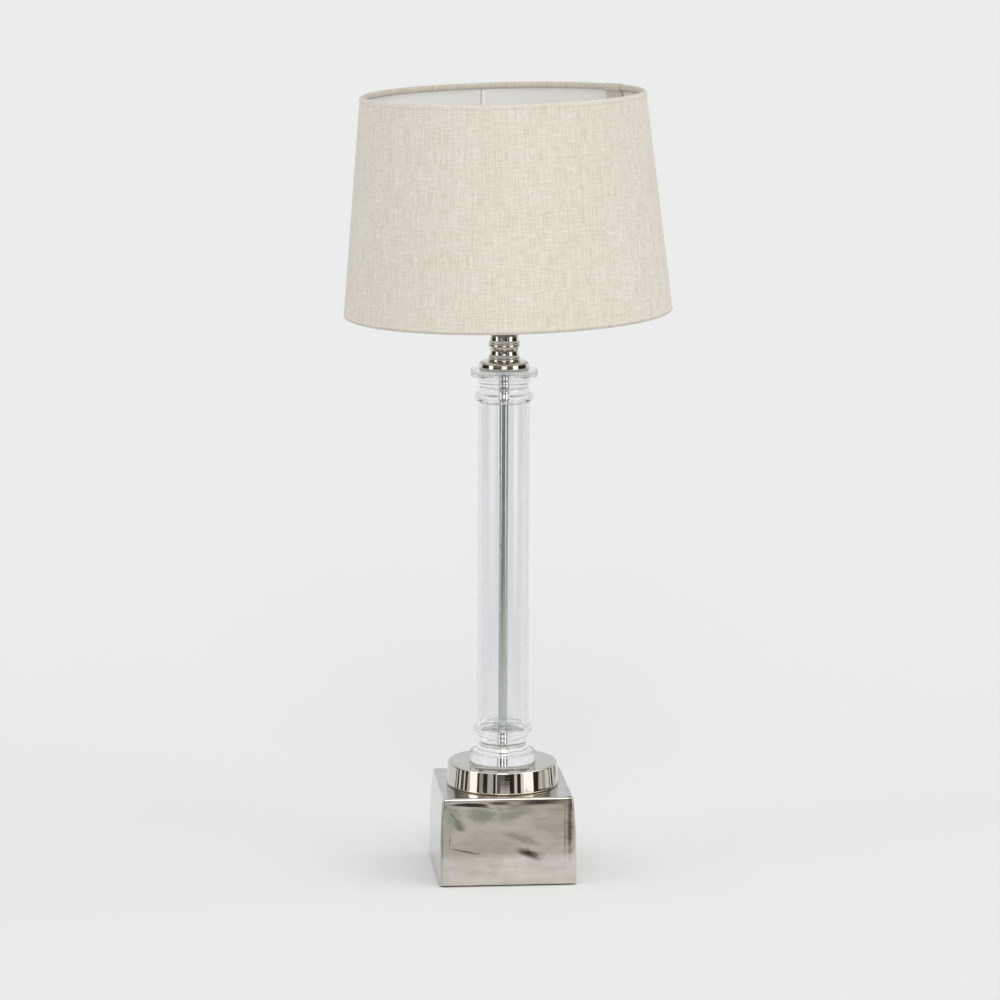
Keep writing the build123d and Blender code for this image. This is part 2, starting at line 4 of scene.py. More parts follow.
import bpy
from mathutils import Matrix, Vector, noise


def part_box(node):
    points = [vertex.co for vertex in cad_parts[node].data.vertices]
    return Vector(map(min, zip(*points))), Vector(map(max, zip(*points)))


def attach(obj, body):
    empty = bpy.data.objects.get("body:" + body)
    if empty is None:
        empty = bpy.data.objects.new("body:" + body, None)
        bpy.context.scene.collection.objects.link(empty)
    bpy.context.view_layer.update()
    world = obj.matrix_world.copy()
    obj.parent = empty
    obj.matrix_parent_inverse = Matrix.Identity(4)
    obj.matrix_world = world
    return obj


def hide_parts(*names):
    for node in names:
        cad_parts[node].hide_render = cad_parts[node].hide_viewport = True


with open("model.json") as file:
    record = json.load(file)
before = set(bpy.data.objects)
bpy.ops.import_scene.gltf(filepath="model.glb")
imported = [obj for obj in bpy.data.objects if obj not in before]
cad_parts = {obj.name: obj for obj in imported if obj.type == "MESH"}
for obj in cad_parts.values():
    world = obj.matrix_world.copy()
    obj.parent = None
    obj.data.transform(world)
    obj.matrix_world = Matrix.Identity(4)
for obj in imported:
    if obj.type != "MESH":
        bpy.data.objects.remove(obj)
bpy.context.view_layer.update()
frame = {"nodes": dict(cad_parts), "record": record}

scene = bpy.context.scene

# Looks of the candlestick lamp. Metres and radians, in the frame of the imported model:
# +Z is up and the lamp's front faces -Y.

# ---- camera, as in the photograph ----
focal_length_px = 4167.5
image_width_px = 1000
sensor_width_mm = 36.0
camera_distance = 4.3647
camera_height = 1.1772
camera_azimuth = math.radians(5.35)
camera_yaw = math.radians(-0.05)
camera_pitch = math.radians(10.04)
camera_roll = math.radians(0.25)

# ---- sizes that the frame's boxes do not give ----
block_corner = 0.0026
block_wall = 0.005
block_upright = 0.024
block_top_width = 0.139
block_rim = 0.001
block_roof_hole = 0.004  # half width
block_inner_corner = 0.001
inlet_radius = 0.0064
inlet_cut = 0.03
block_wave = 0.00016  # unevenness of the hand polishing
gap_under_glass = 0.00006  # keeps glass faces apart from what they stand on
disc_top_radius = 0.0588
disc_edge = 0.002
bore_radius = 0.0053
tapped_radius = 0.00505
glass_edge = 0.0016
glass_foot_edge = 0.0008
foot_form = (0.0106, 0.0253, 0.019, 0.0104)  # ring height, waist radius, cove and collar height
capital_form = (0.0078, 0.0261, 0.0176, 0.009)
collar_overhang = 0.0035
collar_nose = 0.0034
tube_wall = 0.0032
tube_seat = 0.004
tube_edge = 0.0004
tube_play = 0.00025
flange_edge = 0.0032
flange_foot = 0.0021
flange_slope = 0.0006  # the flange's wall leans in by this much
bead_height = 0.0032
bead_radii = (0.0175, 0.017, 0.0167)
bead_undercut = 0.0012
bead_step = 0.0006
bead_seam = 0.0008
bead_face = 0.0009  # height of a bead's narrow face
bead_face_lean = math.radians(9.0)
neck_groove_depth = 0.0022  # groove between the neck and the flange
neck_groove_height = 0.0005
cove_height = 0.0092
cove_throat_height = 0.0044
cove_radii = (0.015, 0.0151)
neck_top_radius = 0.0145
neck_taper_height = 0.007
neck_top_height = 0.004
rod_bore = 0.0035
wire_radius = 0.0016
wire_play = 0.0003
linen_thickness = 0.0008
lining_thickness = 0.0006
hem_flap = 0.0042
hem_step = 0.0003  # the rolled hem stands proud of the wall
hem_height = 0.0048
hem_step_height = 0.0006  # the wall steps back over this height
roll_soft = 0.0012  # the painted shade on the hem's roll fades in over twice this height
sheet_gap = 0.001  # joins end this far from the hems
seam_width = 0.012
overlap_width = 0.03  # the linen's join
overlap_thickness = 0.0009
overlap_flap = 0.014  # how far the join is turned down inside
linen_seam_angle = math.radians(31.0)
lining_seam_degrees = 94.5
lining_seam_angle = math.radians(lining_seam_degrees)
facing_angle = math.radians(18.5)  # the join's inner facing, beside its turned-down end
facing_width = 0.039
felt_corner = 0.003
felt_edge = 0.0006
felt_wave = 0.00008
screw_head_radius = 0.004
pocket_depth = 0.0015
pocket_play = 0.0002
around = 256  # faces round a turned piece
arc_step = math.radians(7.0)
holding_distance = 0.00012  # from a corner to the point that keeps a flat's shading flat


# ---- meshes ----
def arc_points(start, middle, end):
    """Points of the arc from start through middle to end, without start."""
    (ax, ay), (bx, by), (cx, cy) = start, middle, end
    d = 2 * (ax * (by - cy) + bx * (cy - ay) + cx * (ay - by))
    a2, b2, c2 = ax * ax + ay * ay, bx * bx + by * by, cx * cx + cy * cy
    ux = (a2 * (by - cy) + b2 * (cy - ay) + c2 * (ay - by)) / d
    uy = (a2 * (cx - bx) + b2 * (ax - cx) + c2 * (bx - ax)) / d
    radius = math.hypot(ax - ux, ay - uy)
    first = math.atan2(ay - uy, ax - ux)
    turn_middle = (math.atan2(by - uy, bx - ux) - first) % math.tau
    turn_end = (math.atan2(cy - uy, cx - ux) - first) % math.tau
    if turn_middle > turn_end:
        turn_end -= math.tau
    count = max(4, math.ceil(abs(turn_end) / arc_step))
    angles = [first + turn_end * k / count for k in range(1, count + 1)]
    return [(ux + radius * math.cos(t), uy + radius * math.sin(t)) for t in angles]


def held_line(start, end):
    """A straight step, with a point close to each end that keeps its shading flat between them."""
    length = math.dist(start, end)
    if length < 4 * holding_distance:
        return [end]
    share = holding_distance / length
    near = [a + (b - a) * share for a, b in zip(start, end)]
    far = [b + (a - b) * share for a, b in zip(start, end)]
    return [tuple(near), tuple(far), end]


def outline(start, *steps):
    """A closed (radius, height) outline. A step is a point, or an arc's (middle, end)."""
    points = [start]
    for step in steps:
        if isinstance(step[0], tuple):
            points += arc_points(points[-1], *step)
        else:
            points += held_line(points[-1], step)
    if math.dist(points[0], points[-1]) < 1e-7:
        points.pop()
    else:
        points += held_line(points[-1], points[0])[:-1]
    return points


def turned(name, points, place=None, first=0.0, sweep=math.tau):
    """Turn a closed outline about Z. Its UVs are metres round and metres along the outline."""
    closed = sweep > math.tau - 1e-6
    rings = around if closed else max(2, math.ceil(around * sweep / math.tau))
    ring_count = rings if closed else rings + 1
    count = len(points)
    vertices = []
    for ring in range(ring_count):
        angle = first + sweep * ring / rings
        vertices += [(r * math.cos(angle), r * math.sin(angle), z) for r, z in points]
    along = [0.0]
    for a, b in zip(points, points[1:] + points[:1]):
        along.append(along[-1] + math.dist(a, b))
    widest = max(r for r, z in points)
    faces = []
    uvs = []
    for ring in range(rings):
        here = ring * count
        there = ((ring + 1) % ring_count) * count
        u0 = widest * sweep * ring / rings
        u1 = widest * sweep * (ring + 1) / rings
        for k in range(count):
            after = (k + 1) % count
            faces.append((here + k, there + k, there + after, here + after))
            uvs += [(u0, along[k]), (u1, along[k]), (u1, along[k + 1]), (u0, along[k + 1])]
    if not closed:
        for corner, order in ((0, range(count)), (rings * count, range(count - 1, -1, -1))):
            faces.append(tuple(corner + k for k in order))
            uvs += [(0.0, along[k]) for k in order]
    return mesh_object(name, vertices, faces, uvs, place)


def mesh_object(name, vertices, faces, uvs=None, place=None):
    """A smooth-shaded mesh object in the scene, with sharp edges where faces turn sharply."""
    mesh = bpy.data.meshes.new(name)
    mesh.from_pydata(vertices, [], faces)
    if uvs:
        layer = mesh.uv_layers.new(name="metres")
        for loop, uv in zip(layer.data, uvs):
            loop.uv = uv
    if place:
        mesh.transform(place)
    mesh.update()
    if signed_volume(mesh) < 0:
        mesh.flip_normals()
    mesh.shade_smooth()
    mesh.set_sharp_from_angle(angle=math.radians(35))
    made = bpy.data.objects.new(name, mesh)
    scene.collection.objects.link(made)
    return made


def signed_volume(mesh):
    """Six times the volume: negative where the faces look inwards."""
    total = 0.0
    for polygon in mesh.polygons:
        corners = [mesh.vertices[i].co for i in polygon.vertices]
        for b, c in zip(corners[1:], corners[2:]):
            total += corners[0].dot(b.cross(c))
    return total


def levels_joined(first, last, ring):
    """Faces between neighbouring levels from first to last, each a ring of as many points."""
    faces = []
    for level in range(first, last):
        low, high = level * ring, (level + 1) * ring
        for k in range(ring):
            after = (k + 1) % ring
            faces.append((low + k, low + after, high + after, high + k))
    return faces


def stacked(name, vertices, ring, place=None):
    """A closed solid through levels of as many points each."""
    count = len(vertices)
    faces = [tuple(reversed(range(ring))), tuple(range(count - ring, count))]
    faces += levels_joined(0, count // ring - 1, ring)
    return mesh_object(name, vertices, faces, None, place)


def measures(node):
    """A turned node's lowest point, its height and its largest radius."""
    low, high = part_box(node)
    return low[2], high[2] - low[2], (high[1] - low[1]) / 2


def radius_of(node):
    """Largest radius of a turned node."""
    return measures(node)[2]


def middle(node):
    """Centre of a node's box."""
    low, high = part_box(node)
    return (Vector(low) + Vector(high)) / 2


lower_wire = middle("shade_bottom_wire")
upper_wire = middle("shade_top_wire")
wire_distance = (upper_wire - lower_wire).length
lower_radius = radius_of("shade_bottom_wire") - wire_radius
upper_radius = radius_of("shade_top_wire") - wire_radius
taper = lower_radius - upper_radius
wall_slope = math.atan2(taper, wire_distance)
wall_length = math.hypot(taper, wire_distance)
fold = wire_radius + wire_play + linen_thickness
roll_start = wall_length + 1.5 * fold  # measured along the cover's outline
shade_axis = (upper_wire - lower_wire).normalized()
leaning = Vector((0, 0, 1)).rotation_difference(shade_axis).to_matrix().to_4x4()
shade_place = Matrix.Translation(lower_wire) @ leaning


# ---- shader helpers ----
even = (1, 1, 1)  # a noise's grains are as long in each direction


class Graph:
    """A node tree, with short ways to add to it. Inputs are values or other nodes' outputs."""

    def __init__(self, tree):
        self.tree = tree
        coordinates = self.add("TexCoord").outputs
        self.place = coordinates["Object"]
        self.sheet = coordinates["UV"]
        self.direction = coordinates["Generated"]

    def put(self, node, inputs):
        """Set or link a node's inputs."""
        for key, value in inputs.items():
            if isinstance(value, bpy.types.NodeSocket):
                self.tree.links.new(value, node.inputs[key])
            else:
                node.inputs[key].default_value = value

    def add(self, kind, inputs=None, **settings):
        """A shader node of a kind, with its settings and inputs."""
        made = self.tree.nodes.new("ShaderNode" + kind)
        for key, value in settings.items():
            setattr(made, key, value)
        self.put(made, inputs or {})
        return made

    def calc(self, operation, *values):
        """A Math node's result."""
        return self.add("Math", dict(enumerate(values)), operation=operation).outputs[0]

    def vector(self, operation, *values):
        """A Vector Math node's outputs."""
        return self.add("VectorMath", dict(enumerate(values)), operation=operation).outputs

    def times(self, first, *others):
        """The product of all values."""
        for other in others:
            first = self.calc("MULTIPLY", first, other)
        return first

    def largest(self, first, *others):
        """The largest of all values."""
        for other in others:
            first = self.calc("MAXIMUM", first, other)
        return first

    def weighted(self, *pairs):
        """The sum of values, each times its weight."""
        total, *others = [self.times(value, weight) for value, weight in pairs]
        for other in others:
            total = self.calc("ADD", total, other)
        return total

    def away(self, value, centre):
        """How far a value is from a centre."""
        return self.calc("ABSOLUTE", self.calc("SUBTRACT", value, centre))

    def fade(self, value, low, high, at_low=0.0, at_high=1.0):
        """A smooth step of value from at_low to at_high."""
        inputs = {
            "Value": value, "From Min": low, "From Max": high, "To Min": at_low, "To Max": at_high
        }
        return self.add("MapRange", inputs, interpolation_type="SMOOTHSTEP").outputs[0]

    def past(self, value, edge, soft):
        """Nought up to an edge, and one from so far past it."""
        return self.fade(value, edge, edge + soft)

    def window(self, value, centre, half, soft):
        """One inside a band, fading to nought outside it."""
        return self.fade(self.away(value, centre), half - soft, half + soft, 1.0, 0.0)

    def axes(self, vector):
        """A vector's x, y and z."""
        return self.add("SeparateXYZ", {"Vector": vector}).outputs

    def degrees_round(self, x, y):
        """Degrees round Z from the front, growing towards +X."""
        return self.calc("DEGREES", self.calc("ARCTAN2", x, self.times(y, -1.0)))

    def blend(self, factor, first, second, mode="MIX"):
        """A Mix node for colours, each an output or (red, green, blue)."""
        made = self.add("Mix", data_type="RGBA", blend_type=mode)
        self.put(made, {0: factor})
        for key, colour in ((6, first), (7, second)):
            self.put(made, {key: (*colour, 1.0) if isinstance(colour, tuple) else colour})
        return made.outputs[2]

    def tinted(self, colour, tint, value, *limits):
        """A colour that goes over into a tint as value fades between limits."""
        return self.blend(self.fade(value, *limits), colour, tint)

    def speckle(self, scale, stretch=even, detail=3.0, roughness=0.55, distortion=0.0, vector=None):
        """A noise, stretched by its own scale along each direction."""
        vector = self.place if vector is None else vector
        mapped = self.add("Mapping", {"Vector": vector, "Scale": stretch})
        grain = {"Scale": scale, "Detail": detail, "Roughness": roughness, "Distortion": distortion}
        return self.add("TexNoise", {"Vector": mapped.outputs[0], **grain}).outputs["Fac"]

    def woven(self, stretch, detail=3.0, roughness=0.55):
        """A noise on a sheet, with so many grains a metre across it and up it."""
        return self.speckle(1.0, (*stretch, 1), detail, roughness, vector=self.sheet)


class Surface(Graph):
    """A new material with a Principled shader."""

    def __init__(self, name):
        self.material = bpy.data.materials.new(name)
        self.material.use_nodes = True
        super().__init__(self.material.node_tree)
        self.shader = self.tree.nodes["Principled BSDF"]

    def finish(self, colour, roughness, height, strength, distance, others=None):
        """The material, with its colour, roughness and relief, and with other inputs by name."""
        relief = {"Strength": strength, "Distance": distance, "Height": height}
        bump = self.add("Bump", relief).outputs[0]
        inputs = {"Base Color": colour, "Roughness": roughness, "Normal": bump, **(others or {})}
        self.put(self.shader, inputs)
        return self.material


# ---- materials ----
metal = {"Metallic": 1.0}

# Marks painted on the block's front, partly painted reflections of the room in the wavy nickel and
# partly polishing stains: place across and up, half length, half height, slope, colour, strength.
# Metres and degrees.
painted_reflection_and_stain_marks = (
    (-0.0586, 0.076, 0.011, 0.016, 0.0, (0.44, 0.475, 0.43), 0.85),
    (-0.029, 0.0775, 0.019, 0.0095, -8.0, (0.37, 0.405, 0.355), 0.95),
    (0.004, 0.0775, 0.022, 0.005, 14.0, (0.4, 0.43, 0.37), 0.85),
    (0.016, 0.051, 0.02, 0.0042, -20.0, (0.4, 0.405, 0.35), 0.8),
    (0.0235, 0.0345, 0.0175, 0.0052, -22.0, (0.1, 0.075, 0.06), 1.0),
    (-0.052, 0.0665, 0.008, 0.0065, -40.0, (0.24, 0.235, 0.2), 0.85),
    (-0.058, 0.076, 0.012, 0.0009, -52.0, (0.24, 0.23, 0.2), 0.8),
    (-0.0622, 0.051, 0.01, 0.0007, 86.0, (0.2, 0.18, 0.15), 0.8),
    (-0.044, 0.0385, 0.018, 0.0011, -12.0, (0.2, 0.17, 0.14), 0.9),
    (0.0655, 0.064, 0.036, 0.0032, 90.0, (0.15, 0.12, 0.1), 0.95),
    (0.0604, 0.059, 0.032, 0.0011, 90.0, (0.26, 0.22, 0.19), 0.8),
    (0.039, 0.0728, 0.0035, 0.0004, 12.0, (0.3, 0.27, 0.23), 0.8),
    (-0.0706, 0.048, 0.052, 0.0016, 90.0, (0.22, 0.215, 0.2), 0.9),
)
face_start = 0.06  # the front's painted reflections and stains and the left face's painted shade fade in between these distances from the axis
face_full = 0.066


def front_mark(look, across, up, half_length, half_height, slope, edge):
    """One at a mark's middle, fading to nought at its rim, which edge makes ragged."""
    moved = look.vector("SUBTRACT", look.place, (across, 0.0, up))[0]
    turned_by = look.add(
        "VectorRotate",
        {"Vector": moved, "Axis": (0, 1, 0), "Angle": math.radians(slope)},
        rotation_type="AXIS_ANGLE",
    )
    shares = (1 / half_length, 0.0, 1 / half_height)
    scaled = look.vector("MULTIPLY", turned_by.outputs[0], shares)[0]
    length = look.vector("LENGTH", scaled)["Value"]
    return look.fade(look.calc("ADD", length, edge), 0.25, 1.25, 1.0, 0.0)


def nickel_hand_polished():
    """The block: nickel plate over a hand-polished casting, cloudy and streaked, with painted
    reflections and stains on its front, painted shade on its left face and a painted shadow along its
    foot.
    """
    look = Surface("nickel_hand_polished")
    cloud = look.speckle(16.0, (1, 1, 1.6), 4.0, 0.6, 1.2)
    streak = look.speckle(22.0, (0.5, 0.5, 3.2), 4.0, 0.6, 1.0)
    fine = look.speckle(260.0, (0.25, 0.25, 4.0))
    tone = look.weighted((cloud, 0.55), (streak, 0.45))
    colour = look.blend(look.fade(tone, 0.38, 0.62), (0.58, 0.54, 0.485), (0.735, 0.69, 0.635))
    rag = look.speckle(60.0, (1.0, 1.0, 2.2), 4.0, 0.65, 0.8)
    edge = look.calc("MULTIPLY_ADD", rag, 1.5, -0.75)
    x, y, z = look.axes(look.place)
    on_front = look.fade(y, -face_start, -face_full)
    # painted reflections and polishing stains on the block's front
    for *outline_of_mark, tint, strength in painted_reflection_and_stain_marks:
        mark = front_mark(look, *outline_of_mark, edge)
        colour = look.blend(look.times(mark, on_front, strength), colour, tint)
    # painted shade: the left face darker, standing in for a dimmer reflection
    colour = look.tinted(colour, (0.55, 0.55, 0.54), x, -face_start, -face_full, 0.0, 0.45)
    # painted contact shadow: a dark band round the block's foot
    colour = look.tinted(colour, (0.1, 0.09, 0.08), z, 0.0026, 0.001, 0.0, 0.85)
    roughness = look.fade(tone, 0.34, 0.66, 0.15, 0.08)
    height = look.weighted((streak, 1.0), (fine, 0.05))
    return look.finish(colour, roughness, height, 0.1, 0.001, metal)


def nickel_turned():
    """Turned pieces: bright nickel plate with faint turning marks and handling haze."""
    look = Surface("nickel_turned")
    marks = look.speckle(90.0, (0.05, 0.05, 12.0), 2.0)
    haze = look.speckle(35.0, even, 4.0, 0.6, 0.5)
    colour = look.blend(haze, (0.62, 0.58, 0.515), (0.71, 0.665, 0.6))
    return look.finish(colour, look.fade(haze, 0.35, 0.75, 0.02, 0.055), marks, 0.03, 0.0002, metal)


def clear_glass():
    """Clear glass with the faint waves and haze of a pressed and fire-polished piece."""
    look = Surface("clear_glass")
    tint = look.speckle(12.0, (1, 1, 0.3), 2.0)
    smear = look.speckle(40.0, (1, 1, 0.25), 4.0, 0.6)
    wave = look.speckle(22.0, (1, 1, 0.4), 1.0)
    colour = look.blend(tint, (0.988, 0.992, 0.998), (0.994, 0.996, 0.999))
    roughness = look.fade(smear, 0.6, 0.85, 0.0, 0.03)
    return look.finish(colour, roughness, wave, 0.02, 0.0004, {"Transmission Weight": 1.0, "IOR": 1.5})


def soft_milky():
    """The soft washers between metal and glass, milky where they press on the glass."""
    look = Surface("soft_vinyl")
    haze = look.speckle(150.0)
    colour = look.blend(haze, (0.84, 0.83, 0.8), (0.93, 0.925, 0.9))
    roughness = look.fade(haze, 0.3, 0.7, 0.3, 0.5)
    return look.finish(colour, roughness, haze, 0.1, 0.0001, {"Transmission Weight": 0.25, "IOR": 1.45})


def drawn_steel():
    """The rod: bright zinc-plated drawn tube with long faint scratches."""
    look = Surface("drawn_steel")
    draw = look.speckle(700.0, (1, 1, 0.01), 2.0)
    dull = look.speckle(60.0, (1, 1, 0.15), 4.0, 0.6)
    colour = look.blend(dull, (0.66, 0.705, 0.695), (0.8, 0.84, 0.83))
    return look.finish(colour, look.fade(dull, 0.3, 0.7, 0.1, 0.17), draw, 0.04, 0.0002, metal)


def natural_linen():
    """Natural linen: warp and weft of uneven threads, short slubs and a soft drift of tone."""
    look = Surface("natural_linen")
    warp = look.woven((780.0, 48.0), 2.0, 0.7)
    weft = look.woven((62.0, 780.0), 2.0, 0.7)
    warp_yarn = look.woven((300.0, 9.0), 2.0, 0.6)
    weft_yarn = look.woven((12.0, 300.0), 2.0, 0.6)
    slub = look.woven((120.0, 900.0), 1.0, 0.5)
    warp_slub = look.woven((900.0, 95.0), 1.0, 0.5)
    drift = look.woven((26.0, 5.0))
    threads = look.weighted((warp, 0.55), (weft, 0.45))
    yarns = look.weighted((warp_yarn, 0.65), (weft_yarn, 0.35))
    tone = look.weighted((threads, 0.8), (yarns, 0.2))
    colour = look.blend(look.fade(tone, 0.35, 0.65), (0.63, 0.578, 0.49), (0.842, 0.801, 0.723))
    colour = look.tinted(colour, (0.52, 0.46, 0.37), slub, 0.72, 0.86)
    colour = look.tinted(colour, (0.5, 0.44, 0.35), warp_slub, 0.72, 0.86)
    colour = look.tinted(colour, (0.86, 0.83, 0.765), slub, 0.27, 0.16)
    colour = look.tinted(colour, (0.68, 0.63, 0.545), drift, 0.25, 0.75, 0.0, 0.2)
    upwards = look.axes(look.sheet)["Y"]
    # painted shade: the linen darker from the top of the upper hem's roll onwards, its inside included
    shaded_roll = look.fade(upwards, roll_start - roll_soft, roll_start + roll_soft)
    colour = look.blend(shaded_roll, colour, (0.84, 0.83, 0.81), "MULTIPLY")
    # painted shade: a dark line along the upper hem's crease
    from_crease = look.away(upwards, wall_length - hem_height + fold)
    colour = look.tinted(colour, (0.5, 0.46, 0.38), from_crease, 0.0002, 0.001, 0.2, 0.0)
    height = look.weighted((threads, 0.8), (yarns, 0.5), (slub, 0.4))
    return look.finish(
        colour, 0.92, height, 0.45, 0.0003,
        {"Specular IOR Level": 0.25, "Sheen Weight": 0.12, "Sheen Roughness": 0.5},
    )


# Painted shade and a painted highlight at the backing's join: a dark line and a light stripe. Place,
# half width and where it has faded, in degrees from the join's middle, then strength and colour.
join_shade_and_highlight_lines = (
    (0.2, 0.2, 0.55, 0.55, (0.4, 0.38, 0.37)),
    (-0.8, 0.3, 0.6, 0.9, (0.97, 0.965, 0.95)),
)


def white_lining():
    """Laminated white backing with the weave showing faintly through, and a painted shade line and
    painted highlight at its join.
    """
    look = Surface("white_lining")
    weave = look.woven((500.0, 500.0), 2.0)
    cloud = look.woven((9.0, 9.0))
    colour = look.blend(look.fade(cloud, 0.3, 0.7), (0.8, 0.785, 0.755), (0.86, 0.85, 0.825))
    x, y = look.axes(look.place)[:2]
    round_it = look.calc("DEGREES", look.calc("ARCTAN2", y, x))
    for offset, half, faded, strength, tint in join_shade_and_highlight_lines:
        from_line = look.away(round_it, lining_seam_degrees + offset)
        colour = look.tinted(colour, tint, from_line, half, faded, strength, 0.0)
    return look.finish(colour, 0.6, weave, 0.15, 0.0002)


def pressed_felt():
    """Black felt: matted fibres with a little lint on them."""
    look = Surface("black_felt")
    mat = look.speckle(420.0, even, 4.0, 0.65, 1.5)
    fibres = look.speckle(900.0, (0.15, 1, 1), 3.0, 0.6, 2.0)
    colour = look.blend(mat, (0.01, 0.01, 0.012), (0.036, 0.036, 0.042))
    colour = look.tinted(colour, (0.1, 0.1, 0.11), fibres, 0.66, 0.8)
    return look.finish(
        colour, look.fade(mat, 0.3, 0.7, 0.88, 1.0), look.calc("ADD", mat, fibres), 0.8, 0.0006,
        {"Specular IOR Level": 0.2, "Sheen Weight": 0.35, "Sheen Roughness": 0.6},
    )


def plain(name, dark, light, roughness, scale, stretch=even, others=None, relief=0.0001, strength=0.2):
    """A finish for small and hidden pieces: two tones, an uneven gloss and a fine relief."""
    look = Surface(name)
    tone = look.speckle(scale, stretch, 4.0, 0.6)
    grain = look.speckle(scale * 6, stretch, 2.0)
    gloss = look.fade(tone, 0.3, 0.7, roughness * 0.8, roughness * 1.2)
    return look.finish(look.blend(tone, dark, light), gloss, grain, strength, relief, others)


materials = {
    "nickel_casting": nickel_hand_polished(),
    "nickel_turned": nickel_turned(),
    "clear_glass": clear_glass(),
    "rod_steel": drawn_steel(),
    "linen": natural_linen(),
    "lining": white_lining(),
    "steel": plain("zinc_steel", (0.5, 0.51, 0.51), (0.66, 0.67, 0.67), 0.32, 90.0, others=metal),
    "cast_iron": plain(
        "black_iron", (0.012, 0.012, 0.013), (0.03, 0.03, 0.032), 0.55, 160.0,
        relief=0.0006, strength=0.6,
    ),
    "brass": plain("plain_brass", (0.62, 0.44, 0.19), (0.76, 0.58, 0.28), 0.26, 80.0, others=metal),
    "felt": pressed_felt(),
    "rubber": plain("black_rubber", (0.018, 0.018, 0.018), (0.032, 0.032, 0.032), 0.6, 200.0),
    "clear_vinyl": soft_milky(),
    "black_moulding": plain(
        "black_moulding", (0.012, 0.012, 0.012), (0.022, 0.022, 0.022), 0.28, 180.0
    ),
    "white_moulding": plain("white_moulding", (0.74, 0.73, 0.69), (0.8, 0.79, 0.75), 0.4, 150.0),
    "ceramic": plain("glazed_ceramic", (0.8, 0.79, 0.74), (0.86, 0.85, 0.81), 0.15, 70.0),
    "brown_sleeve": plain("brown_sleeve", (0.1, 0.045, 0.02), (0.14, 0.065, 0.03), 0.4, 200.0),
    "blue_sleeve": plain("blue_sleeve", (0.015, 0.07, 0.3), (0.025, 0.1, 0.38), 0.4, 200.0),
    "green_yellow_sleeve": plain(
        "green_yellow_sleeve", (0.1, 0.35, 0.03), (0.7, 0.62, 0.04), 0.4, 60.0, (1, 1, 0.2)
    ),
    "white_wire": plain("white_wire", (0.72, 0.72, 0.7), (0.8, 0.8, 0.78), 0.35, 120.0),
}
slot_of = {entry["node"]: entry["material_slot"] for entry in frame["record"]["subparts"]}
for node_name, node_object in frame["nodes"].items():
    node_object.data.materials.clear()
    node_object.data.materials.append(materials[slot_of[node_name]])


def placed(piece, body, look, *nodes, slot=None):
    """Give a piece its look and body; the slot argument is not used. It replaces these nodes, if any.
    """
    piece.data.materials.append(materials[look])
    if nodes:
        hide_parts(*nodes)
    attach(piece, body)
    return piece


# ---- block ----
def block_section(half, corner, z):
    """One level of the block: a square with rounded corners, evenly divided."""
    flat_steps = 84
    corner_steps = 8
    points = []
    for quarter in range(4):
        turn = Matrix.Rotation(quarter * math.pi / 2, 2)
        reach = half - corner
        for k in range(flat_steps):
            points.append(turn @ Vector((half, -reach + 2 * reach * k / flat_steps)))
        for k in range(corner_steps):
            angle = math.pi / 2 * k / corner_steps
            points.append(
                turn @ Vector((reach + corner * math.cos(angle), reach + corner * math.sin(angle)))
            )
    return [(x, y, z) for x, y in points]


def block_half(z, bottom_half, top_half, top):
    """Half width of the bowed wall at a height."""
    if z <= block_upright:
        return bottom_half
    lean = bottom_half - top_half
    rise = top - block_upright
    radius = (lean ** 2 + rise ** 2) / (2 * lean)
    return bottom_half - radius + math.sqrt(radius ** 2 - (z - block_upright) ** 2)


def uneven(point):
    """The hand-polished surface's slow waves, as an offset along the outward direction."""
    x, y, z = point
    slow = noise.noise(Vector((x, y, z)) * 24.0)
    long_wave = noise.noise(Vector((x * 11.0 + 3.0, y * 11.0, z * 30.0 + 5.0)))
    return (0.5 * slow + 0.9 * long_wave) * block_wave


# Dents left by the polishing wheel: face, place along it and up it, half length, half height,
# slope of the long axis in degrees and depth.
dents = (
    ("front", 0.027, 0.035, 0.011, 0.0036, -17, 0.00018),
    ("front", -0.044, 0.087, 0.022, 0.0034, -4, 0.0002),
    ("front", 0.032, 0.088, 0.016, 0.003, 3, 0.00013),
    ("front", -0.01, 0.088, 0.014, 0.003, 0, -0.00016),
    ("back", -0.025, 0.052, 0.016, 0.005, 14, 0.0002),
    ("back", 0.036, 0.072, 0.012, 0.006, -20, 0.0002),
    ("left", 0.018, 0.06, 0.015, 0.006, 10, 0.00014),
    ("right", -0.02, 0.042, 0.014, 0.005, -12, 0.0002),
    ("right", 0.03, 0.074, 0.018, 0.005, 8, 0.00018),
)


def dented(face, along, z):
    """Depth of the dents at a place on a face."""
    depth = 0.0
    for name, along_0, z_0, half_length, half_height, degrees, deep in dents:
        if name != face:
            continue
        slope = math.radians(degrees)
        u = (along - along_0) * math.cos(slope) + (z - z_0) * math.sin(slope)
        v = (z - z_0) * math.cos(slope) - (along - along_0) * math.sin(slope)
        depth += deep * math.exp(-((u / half_length) ** 2) - (v / half_height) ** 2)
    return depth


def polished_point(x, y, z, top):
    """A point of the block's outer surface, moved by the waves and dents."""
    if z > top - 1e-5:
        return (x, y, min(z, top + uneven((x, y, z)) - block_wave))
    shift = uneven((x, y, z)) * min(1.0, z / block_upright)
    if abs(x) > abs(y):
        face = "right" if x > 0 else "left"
        return (x + math.copysign(shift - dented(face, y, z), x), y, z)
    face = "back" if y > 0 else "front"
    return (x, y + math.copysign(shift - dented(face, x, z), y), z)


